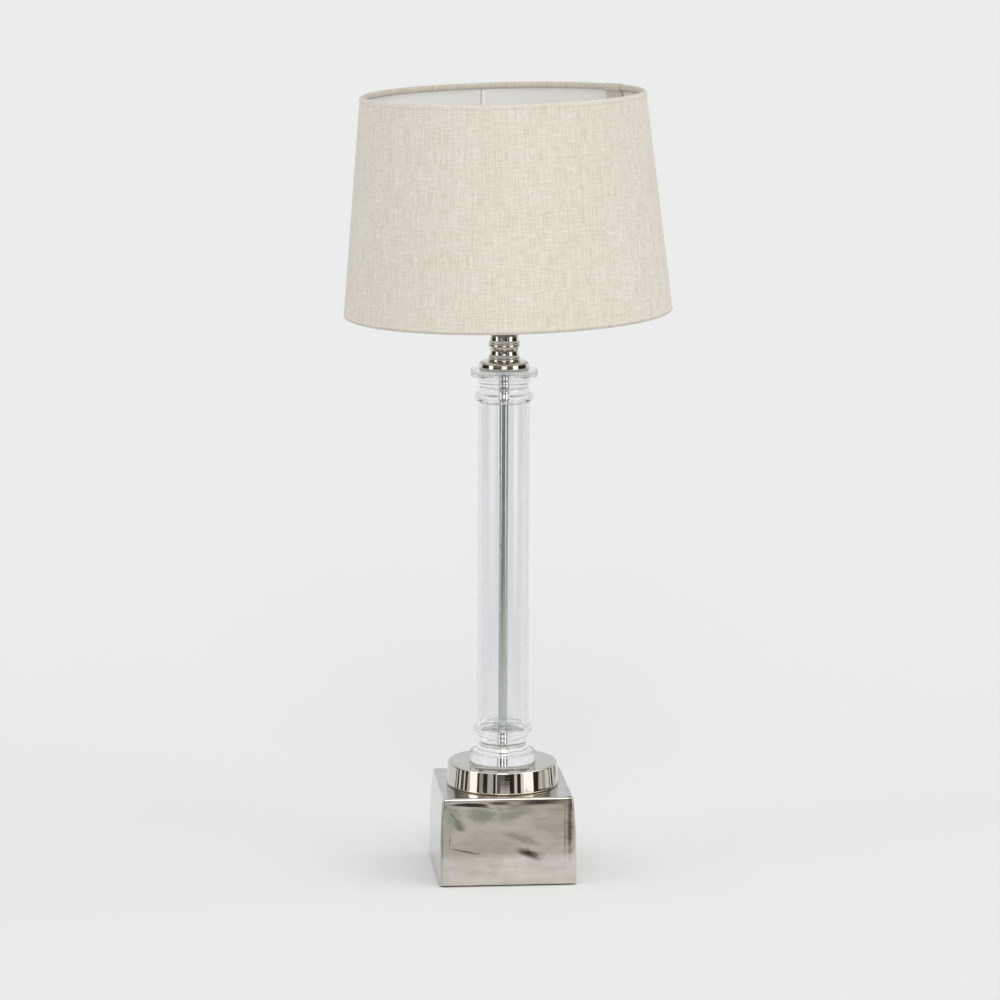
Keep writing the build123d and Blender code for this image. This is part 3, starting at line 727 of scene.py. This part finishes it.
def polished_block():
    """Outer skin with rounded edges and slow waves, a wall's thickness, and a hollow inside."""
    low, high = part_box("base_block")
    bottom_half = (high[0] - low[0]) / 2
    top_half = block_top_width / 2
    top = high[2]
    rim_levels = 6
    wall_levels = 64
    shoulder_levels = 8
    top_rings = 16
    tight_corner = block_corner * 0.25
    levels = []
    for k in range(rim_levels + 1):
        angle = math.pi / 2 * k / rim_levels
        inset = block_rim * (1 - math.sin(angle))
        levels.append((low[2] + block_rim * (1 - math.cos(angle)), bottom_half - inset, block_corner))
    for k in range(1, wall_levels):
        z = low[2] + block_rim + (top - block_corner - low[2] - block_rim) * k / wall_levels
        levels.append((z, block_half(z, bottom_half, top_half, top), block_corner))
    shoulder = block_half(top - block_corner, bottom_half, top_half, top)
    for k in range(shoulder_levels + 1):
        angle = math.pi / 2 * k / shoulder_levels
        inset = block_corner * (1 - math.cos(angle))
        z = top - block_corner + block_corner * math.sin(angle)
        levels.append((z, shoulder - inset, max(block_corner - inset, tight_corner)))
    flat_edge = levels[-1][1]
    for k in range(1, top_rings):
        half = flat_edge * (1 - k / top_rings)
        levels.append((top, half, min(tight_corner, half * 0.5)))
    inner = bottom_half - block_wall
    inner_top = top - block_wall
    inside = [
        (inner_top, block_roof_hole), (inner_top, top_half - block_wall), (block_upright, inner),
        (low[2], inner),
    ]
    vertices = []
    for z, half, corner in levels:
        vertices += [polished_point(*point, top) for point in block_section(half, corner, z)]
    for z, half in inside:
        vertices += block_section(half, block_inner_corner, z)
    count = len(levels) + len(inside)
    ring = len(vertices) // count
    faces = levels_joined(0, len(levels) - 1, ring) + levels_joined(len(levels), count - 1, ring)
    first_in = len(levels) * ring
    faces.append(tuple(range(first_in - ring, first_in)))
    faces.append(tuple(reversed(range(first_in, first_in + ring))))
    rim = (count - 1) * ring
    for k in range(ring):
        after = (k + 1) % ring
        faces.append((rim + k, rim + after, after, k))
    return mesh_object("polished_block", vertices, faces)


def cut_round(piece, place, radius, length):
    """Cut a round hole along the Z axis of a place."""
    sides = 64
    vertices = []
    for z in (-length / 2, length / 2):
        angles = [math.tau * k / sides for k in range(sides)]
        vertices += [(radius * math.cos(angle), radius * math.sin(angle), z) for angle in angles]
    cutter = stacked("cutter", vertices, sides, place)
    cut = piece.modifiers.new("cut", "BOOLEAN")
    cut.operation = "DIFFERENCE"
    cut.object = cutter
    bpy.context.view_layer.update()
    shape = bpy.data.meshes.new_from_object(piece.evaluated_get(bpy.context.evaluated_depsgraph_get()))
    piece.modifiers.remove(cut)
    old = piece.data
    piece.data = shape
    bpy.data.meshes.remove(old)
    bpy.data.objects.remove(cutter)


block = polished_block()
inlet_place = Matrix.Translation(middle("cable_bush")) @ Matrix.Rotation(math.pi / 2, 4, "X")
cut_round(block, inlet_place, inlet_radius, inlet_cut)
placed(block, "lamp", "nickel_casting", "base_block")


# ---- felt ----
def felt_sheet():
    """Felt under the plate, a little wavy, with pockets for the screw heads."""
    low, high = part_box("felt_pad")
    half = (high[0] - low[0]) / 2
    flat = half - felt_edge
    rings = 14
    levels = [(low[2], flat * k / rings) for k in range(1, rings + 1)]
    levels += [(low[2] + felt_edge, half), (high[2] - felt_edge, half)]
    levels += [(high[2], flat * k / rings) for k in range(rings, 0, -1)]
    vertices = []
    for z, reach in levels:
        for point in block_section(reach, min(felt_corner, reach / 2), z):
            wave = felt_wave * (1 + noise.noise(Vector(point) * 90.0)) / 2
            vertices.append((point[0], point[1], z + (wave if z < high[2] - felt_edge else -wave)))
    made = stacked("felt_sheet", vertices, len(vertices) // len(levels))
    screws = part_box("base_screws")
    offset = screws[1][0] - screw_head_radius
    pockets = [(x, y, screw_head_radius) for x in (-offset, offset) for y in (-offset, offset)]
    screw = middle("block_screw")
    pockets.append((screw.x, screw.y, radius_of("block_screw")))
    for x, y, radius in pockets:
        cut_round(made, Matrix.Translation((x, y, high[2])), radius + pocket_play, 2 * pocket_depth)
    return made


felt = placed(felt_sheet(), "lamp", "felt", "felt_pad")


# ---- turned metal ----
def disc():
    """The plinth disc, with rounded edges."""
    z, h, low = measures("plinth_disc")
    high = disc_top_radius
    e = disc_edge
    k = e * (1 - math.sqrt(0.5))
    points = outline(
        (bore_radius, z), (low - e, z), ((low - k, z + k), (low, z + e)), (high, z + h - e),
        ((high - k, z + h - k), (high - e, z + h)), (bore_radius, z + h),
    )
    return turned("turned_disc", points)


def flange():
    """The round-edged flange on the capital."""
    z, h, r = measures("neck_flange")
    e, f = flange_edge, flange_foot
    kf = f * (1 - math.sqrt(0.5))
    shoulder = r - flange_slope
    points = outline(
        (bore_radius, z), (r - f, z), ((r - kf, z + kf), (r, z + f)),
        ((r - 0.35 * flange_slope, z + (h - e + f) / 2), (shoulder, z + h - e)),
        ((shoulder - 0.27 * e, z + h - 0.3 * e), (shoulder - e, z + h)), (bore_radius, z + h),
    )
    return turned("turned_flange", points)


def bead_pair(radius, bottom):
    """Outline steps of two fine beads with narrow faces, from the pair's foot to its head."""
    upper = radius - bead_step
    seam = bottom + bead_height
    top = seam + bead_height
    face = bead_face / 2
    lean = bead_face * math.tan(bead_face_lean)
    waist = bottom + bead_height / 2
    upper_waist = seam + bead_height * 0.4
    return [
        ((radius - bead_undercut * 0.3, bottom + face), (radius, waist - face)),
        (radius - lean, waist + face),
        ((radius - bead_seam * 0.45, seam - face * 0.8), (radius - bead_seam, seam)),
        ((upper - bead_seam * 0.05, seam + face), (upper, upper_waist - face * 0.5)),
        (upper - lean / 2, upper_waist + face * 0.5),
        ((upper - bead_undercut * 0.45, upper_waist + 2 * face), (upper - bead_undercut, top)),
    ]


def cove(foot_radius, throat_radius, head_radius, bottom):
    """Outline steps of a cove: almost upright up to its throat, then flaring out."""
    throat_z = bottom + cove_throat_height
    top = bottom + cove_height
    low_radius = (foot_radius + 3 * throat_radius) / 4
    high_radius = (head_radius + 3 * throat_radius) / 4
    return [
        ((low_radius, (bottom + throat_z) / 2), (throat_radius, throat_z)),
        ((high_radius, (throat_z + top) / 2), (head_radius, top)),
    ]


def spindle():
    """The neck: three pairs of fine beads with coves between them, and a tapered top."""
    bottom = z = measures("neck_spindle")[0]
    head = bead_step + bead_undercut
    steps = []
    for index, bead in enumerate(bead_radii):
        if index:
            below = bead_radii[index - 1] - head
            steps += cove(below, cove_radii[index - 1], bead - bead_undercut, z)
            z += cove_height
        steps += bead_pair(bead, z)
        z += 2 * bead_height
    top = neck_top_radius
    taper_top = z + neck_taper_height
    end = taper_top + neck_top_height
    foot = bead_radii[0] - bead_undercut
    groove = foot - neck_groove_depth
    points = outline(
        (tapped_radius, bottom), (groove, bottom), (groove, bottom + neck_groove_height),
        (foot, bottom + neck_groove_height),
        *steps,
        ((top - bead_undercut, (z + taper_top) / 2), (top - bead_seam, taper_top)),
        (top, taper_top), (top, end), (tapped_radius, end),
    )
    return turned("turned_neck", points)


def rod():
    """The bored centre rod."""
    low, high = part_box("centre_rod")
    r = radius_of("centre_rod")
    points = outline((rod_bore, low[2]), (r, low[2]), (r, high[2]), (rod_bore, high[2]))
    return turned("drawn_rod", points)


placed(disc(), "lamp", "nickel_turned", "plinth_disc", slot="nickel_casting")
placed(flange(), "lamp", "nickel_turned", "neck_flange")
placed(spindle(), "lamp", "nickel_turned", "neck_spindle")
placed(rod(), "lamp", "rod_steel", "centre_rod")


# ---- glass ----
def glass_end(name, node, ring_height, waist, cove, collar_height, upside_down):
    """A solid glass end: ring, cove, round collar and the tube's seat."""
    ring = radius_of(node)
    tube = radius_of("glass_tube")
    collar = tube + collar_overhang
    seat = tube + tube_play
    e = glass_edge
    k = e * (1 - math.sqrt(0.5))
    cove_top = ring_height + cove
    top = cove_top + collar_height
    lip = collar - e
    f = glass_foot_edge
    kf = f * (1 - math.sqrt(0.5))
    points = outline(
        (bore_radius, gap_under_glass), (ring - f, gap_under_glass),
        ((ring - kf, kf), (ring, f)), (ring, ring_height - e),
        ((ring - k, ring_height - k), (ring - e, ring_height)),
        (ring - 2 * e, ring_height),
        ((waist, ring_height + cove / 2), (lip, cove_top)),
        ((collar, cove_top + collar_nose), (seat + e / 2, top)),
        (seat, top), (seat, top - tube_seat), (bore_radius, top - tube_seat),
    )
    low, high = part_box(node)
    if upside_down:
        place = Matrix.Translation((0, 0, high[2])) @ Matrix.Rotation(math.pi, 4, "X")
    else:
        place = Matrix.Translation((0, 0, low[2]))
    return turned(name, points, place)


def column():
    """The hollow glass tube."""
    low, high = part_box("glass_tube")
    bottom = low[2] + gap_under_glass
    top = high[2] - gap_under_glass
    r = radius_of("glass_tube")
    e = tube_edge
    points = outline(
        (r - tube_wall + e, bottom), (r - e, bottom), (r, bottom + e), (r, top - e),
        (r - e, top), (r - tube_wall + e, top),
        (r - tube_wall, top - e), (r - tube_wall, bottom + e),
    )
    return turned("glass_column", points)


foot = glass_end("pressed_foot", "glass_foot", *foot_form, upside_down=False)
capital = glass_end("pressed_capital", "glass_capital", *capital_form, upside_down=True)
placed(foot, "lamp", "clear_glass", "glass_foot")
placed(capital, "lamp", "clear_glass", "glass_capital")
placed(column(), "lamp", "clear_glass", "glass_tube")


# ---- shade ----
def on_wall(depth, up):
    """A section point of the shade: depth inside its face, and up from the lower wire."""
    offset = fold - depth
    radius = lower_radius + offset * math.cos(wall_slope) - up * math.sin(wall_slope)
    height = up * math.cos(wall_slope) + offset * math.sin(wall_slope)
    return (radius, height)


def wall_outline(*steps):
    """An outline whose points are given as (depth, up) on the wall."""
    return outline(*[
        tuple(on_wall(*point) for point in step) if isinstance(step[0], tuple) else on_wall(*step)
        for step in steps
    ])


def linen_cover():
    """Linen over the wall, with a rolled hem round each wire and its flap inside."""
    t = linen_thickness
    inner = 2 * fold
    glued = t + lining_thickness + 2 * wire_play
    hem = hem_height - fold
    top = wall_length
    behind = t + hem_step / 3
    points = wall_outline(
        (0, 0), (0, hem), (hem_step, hem + hem_step_height),
        (hem_step, top - hem - hem_step_height), (0, top - hem), (0, top),
        ((fold, top + fold), (inner, top)),
        (inner, top - fold + t), (glued + t, top - hem_flap), (glued, top - hem_flap),
        (inner - t, top - fold + t), (inner - t, top),
        ((fold, top + fold - t), (t, top)),
        (behind, top - hem), (behind, hem), (t, 0),
        ((fold, t - fold), (inner - t, 0)),
        (inner - t, fold - t), (glued, hem_flap), (glued + t, hem_flap),
        (inner, fold - t), (inner, 0),
        ((fold, -fold), (0, 0)),
    )
    return turned("linen_cover", points, shade_place)


def backing():
    """White backing sheet between the wires."""
    near = linen_thickness + wire_play
    far = near + lining_thickness
    low = wire_radius + 2 * wire_play
    high = wall_length - low
    points = wall_outline((near, low), (near, high), (far, high), (far, low))
    return turned("backing_sheet", points, shade_place)


def band(name, points, middle_angle, width):
    """A strip of the shade, so wide round the lower wire, from its upright section."""
    sweep = width / lower_radius
    return turned(name, points, shade_place, middle_angle - sweep / 2, sweep)


def inner_band(name, middle_angle, width, near, thickness, low, high):
    """A flat strip inside the shade."""
    far = near + thickness
    points = wall_outline((near, low), (near, high), (far, high), (far, low))
    return band(name, points, middle_angle, width)


def linen_overlap():
    """The linen's join at the back, thick where it is turned over the upper hem."""
    t = overlap_thickness
    inner = 2 * fold
    top = wall_length
    hem = hem_height - fold
    low = hem + sheet_gap
    proud = hem_step / 2 - t / 2
    flap = 2 * linen_thickness + lining_thickness + 3 * wire_play
    flap_top = top - hem_flap - sheet_gap
    points = wall_outline(
        (proud, low), (proud, top - 4 * hem), (-t, top - hem), (-t, top),
        ((fold, top + fold + t), (inner + 2 * t, top)),
        (inner + 2 * t, top - fold), (flap + t, flap_top), (flap + t, top - overlap_flap),
        (flap, top - overlap_flap), (flap, flap_top), (inner, top - fold), (inner, top),
        ((fold, top + fold), (0, top)),
        (0, top - hem), (hem_step, top - hem - sheet_gap), (hem_step, low),
    )
    return band("linen_overlap", points, linen_seam_angle, overlap_width)


backing_far = linen_thickness + wire_play + lining_thickness
join_top = wall_length - hem_flap - sheet_gap
cover = placed(linen_cover(), "shade", "linen", "shade_cover")
backing_sheet = placed(backing(), "shade", "lining", "shade_lining")
overlap = placed(linen_overlap(), "shade", "linen")
facing = inner_band(
    "linen_facing", facing_angle, facing_width, backing_far + wire_play, linen_thickness,
    wall_length - overlap_flap, join_top,
)
placed(facing, "shade", "linen")
backing_join = inner_band(
    "backing_join", lining_seam_angle, seam_width, backing_far, lining_thickness * 0.6,
    hem_flap + sheet_gap, join_top,
)
placed(backing_join, "shade", "lining")


# ---- floor ----
def mirrored_by_metal(look):
    """One for rays that metal sends out, in the open or from inside the glass, else nought."""
    path = look.add("LightPath").outputs
    passed = path["Transmission Depth"]
    in_air = look.times(path["Is Glossy Ray"], look.calc("LESS_THAN", passed, 0.5))
    bounced = look.calc("GREATER_THAN", path["Glossy Depth"], 0.5)
    from_glass = look.times(bounced, look.calc("GREATER_THAN", passed, 3.5))
    return look.largest(in_air, from_glass)


floor_reach = 60.0
floor_depth = 0.9  # the floor's tone changes between this far in front and behind
# Where reflections in metal see the floor change: the edge, and over what length it fades.
paper_end = (-0.2, -0.02)  # a darker surface in front of this
table_front = (-0.8, -0.25)  # and no floor beyond these
table_side = (2.4, 0.1)
wing_front = (-0.3, -0.04)
wing_side = (0.85, 0.04)
tongue_left = (-0.23, -0.02)  # the middle of the table reaches further
tongue_right = (0.24, 0.02)
tongue_front = (-1.55, -0.15)
line_distance = 0.6  # dark lines start this far from the lamp
line_soft = 0.8
# Dark things that stand beside the floor and show in the metal: direction round the lamp, half
# width in degrees, darkness.
floor_lines = (
    (-112.0, 1.6, 0.85), (-105.0, 2.6, 0.95), (-93.0, 4.0, 0.9), (-82.5, 3.2, 0.97),
    (86.0, 5.0, 0.45), (104.0, 1.6, 0.8), (113.0, 3.0, 0.95), (123.0, 1.4, 0.6), (131.0, 3.0, 0.9),
)


def floor():
    """Pale floor. Reflections in the metal see it end, as a table does in a dark room."""
    reach = floor_reach
    corners = [(-reach, -reach, 0), (reach, -reach, 0), (reach, reach, 0), (-reach, reach, 0)]
    mesh = bpy.data.meshes.new("floor")
    mesh.from_pydata(corners, [], [(0, 1, 2, 3)])
    made = bpy.data.objects.new("floor", mesh)
    scene.collection.objects.link(made)
    look = Surface("pale_floor")
    x, y, z = look.axes(look.place)
    aside = look.calc("ABSOLUTE", x)
    mirrored = mirrored_by_metal(look)
    far = look.fade(y, -floor_depth, floor_depth)
    colour = look.blend(far, (0.895, 0.894, 0.895), (0.906, 0.905, 0.905))
    off_paper = look.times(mirrored, look.past(y, *paper_end))
    colour = look.blend(off_paper, colour, (0.66, 0.64, 0.595))
    round_it = look.degrees_round(x, y)
    distance = look.vector("LENGTH", look.place)["Value"]
    shown = look.times(mirrored, look.calc("GREATER_THAN", distance, line_distance))
    for centre, half, darkness in floor_lines:
        line = look.times(look.window(round_it, centre, half, line_soft), darkness)
        colour = look.blend(look.times(line, shown), colour, (0.02, 0.02, 0.016))
    look.put(look.shader, {"Base Color": colour, "Roughness": 0.95, "Specular IOR Level": 0.0})
    beside_tongue = look.largest(look.past(x, *tongue_left), look.past(x, *tongue_right))
    in_front = look.largest(
        look.times(look.past(y, *table_front), beside_tongue), look.past(y, *tongue_front)
    )
    wing = look.times(look.past(y, *wing_front), look.past(aside, *wing_side))
    gone = look.times(look.largest(in_front, look.past(aside, *table_side), wing), mirrored)
    clear = look.add("BsdfTransparent")
    mixed = look.add(
        "MixShader", {0: gone, 1: look.shader.outputs[0], 2: clear.outputs[0]}
    )
    look.put(look.tree.nodes["Material Output"], {"Surface": mixed.outputs[0]})
    mesh.materials.append(look.material)


floor()


# ---- studio ----
backdrop = (0.842, 0.846, 0.852)
dark_room = (0.034, 0.03, 0.023)
room_floor = (0.17, 0.185, 0.165)
ceiling = (1.0, 0.995, 0.975)
back_low = (0.815, 0.845, 0.885)
back_high = (0.57, 0.6, 0.64)
ceiling_middle = 1.36
ceiling_lean = 0.22  # brighter to the right
overhead = 0.52
pale_room = (0.8, 0.805, 0.815)
glass_paleness = 0.86
# Where one part of the room goes over into the next, in degrees.
room_floor_top = (-10.0, -6.0)
ceiling_start = (18.0, 28.0)
overhead_start = (50.0, 66.0)
back_rise = (0.0, 30.0)
back_side = (112.0, 124.0)
panel_soft = 1.5
# Lamps and pale panels in the dark room: direction round the lamp from the camera's side, half
# width, lowest and highest elevation in degrees, strength.
panels = (
    (-62.0, 9.0, -11.0, 26.0, 1.45),
    (55.0, 11.5, -11.0, 26.0, 1.5),
    (-64.0, 11.0, 1.0, 26.0, 0.75),
    (54.0, 12.5, 1.0, 26.0, 0.75),
    (1.0, 12.0, 6.0, 50.0, 1.9),
    (-44.0, 4.0, -8.0, 5.0, 0.36),
    (-24.5, 6.0, -8.0, 5.0, 0.52),
    (-12.0, 1.4, -8.0, 5.0, 0.75),
    (-2.0, 7.0, -8.0, 5.0, 0.12),
    (27.5, 3.0, -8.0, 5.0, 0.72),
    (40.5, 2.2, -8.0, 5.0, 0.95),
)


def studio():
    """A pale backdrop behind, a dark room in front with lamps in it, and a bright ceiling."""
    world = bpy.data.worlds.new("studio")
    scene.world = world
    world.use_nodes = True
    world.node_tree.nodes.clear()
    room = Graph(world.node_tree)
    x, y, z = room.axes(room.direction)
    azimuth = room.calc("ADD", room.degrees_round(x, y), math.degrees(camera_azimuth))
    elevation = room.calc("DEGREES", room.calc("ARCSINE", z))
    sideways = room.calc("SINE", room.calc("RADIANS", azimuth))
    lean = room.calc("MULTIPLY_ADD", sideways, ceiling_lean, ceiling_middle)
    upper = room.blend(1.0, ceiling, lean, "MULTIPLY")
    lower = room.blend(room.fade(elevation, *room_floor_top), room_floor, dark_room)
    light = room.blend(room.fade(elevation, *ceiling_start), lower, upper)
    back = room.blend(room.fade(elevation, *back_rise), back_low, back_high)
    light = room.blend(room.fade(room.calc("ABSOLUTE", azimuth), *back_side), light, back)
    light = room.blend(room.fade(elevation, *overhead_start), light, (overhead, overhead, overhead))
    for centre, half, low, high, strength in panels:
        band = room.times(
            room.window(azimuth, centre, half, min(1.0, half / 3)),
            room.window(elevation, (low + high) / 2, (high - low) / 2, panel_soft),
        )
        lamp = room.blend(band, (0, 0, 0), (strength, strength, strength))
        light = room.blend(1.0, light, lamp, "ADD")
    # Glass shows a paler room, except for what the metal inside it mirrors.
    path = room.add("LightPath").outputs
    through = room.calc("GREATER_THAN", path["Transmission Depth"], 0.5)
    plain_glass = room.times(through, room.calc("SUBTRACT", 1.0, mirrored_by_metal(room)))
    seen = room.blend(room.times(plain_glass, glass_paleness), light, pale_room)
    lit = room.add("Background", {"Color": seen, "Strength": 1.0})
    behind = room.add("Background", {"Color": (*backdrop, 1.0), "Strength": 1.0})
    mixed = room.add(
        "MixShader", {0: path["Is Camera Ray"], 1: lit.outputs[0], 2: behind.outputs[0]}
    )
    room.add("OutputWorld", {"Surface": mixed.outputs[0]})


studio()


# ---- camera ----
def camera():
    """The camera of the photograph."""
    data = bpy.data.cameras.new("camera")
    data.sensor_width = sensor_width_mm
    data.lens = focal_length_px * sensor_width_mm / image_width_px
    data.clip_end = 200.0
    made = bpy.data.objects.new("camera", data)
    scene.collection.objects.link(made)
    round_lamp = Matrix.Rotation(-camera_azimuth, 4, "Z")
    place = Matrix.Translation(round_lamp @ Vector((0, -camera_distance, camera_height)))
    heading = Matrix.Rotation(-camera_azimuth - camera_yaw, 4, "Z")
    tilt = Matrix.Rotation(math.pi / 2 - camera_pitch, 4, "X")
    made.matrix_world = place @ heading @ tilt @ Matrix.Rotation(camera_roll, 4, "Z")
    scene.camera = made


camera()
scene.view_settings.view_transform = "Standard"
# Light goes back and forth in the solid glass many times before it leaves.
scene.cycles.max_bounces = 40
scene.cycles.glossy_bounces = 32
scene.cycles.transmission_bounces = 32
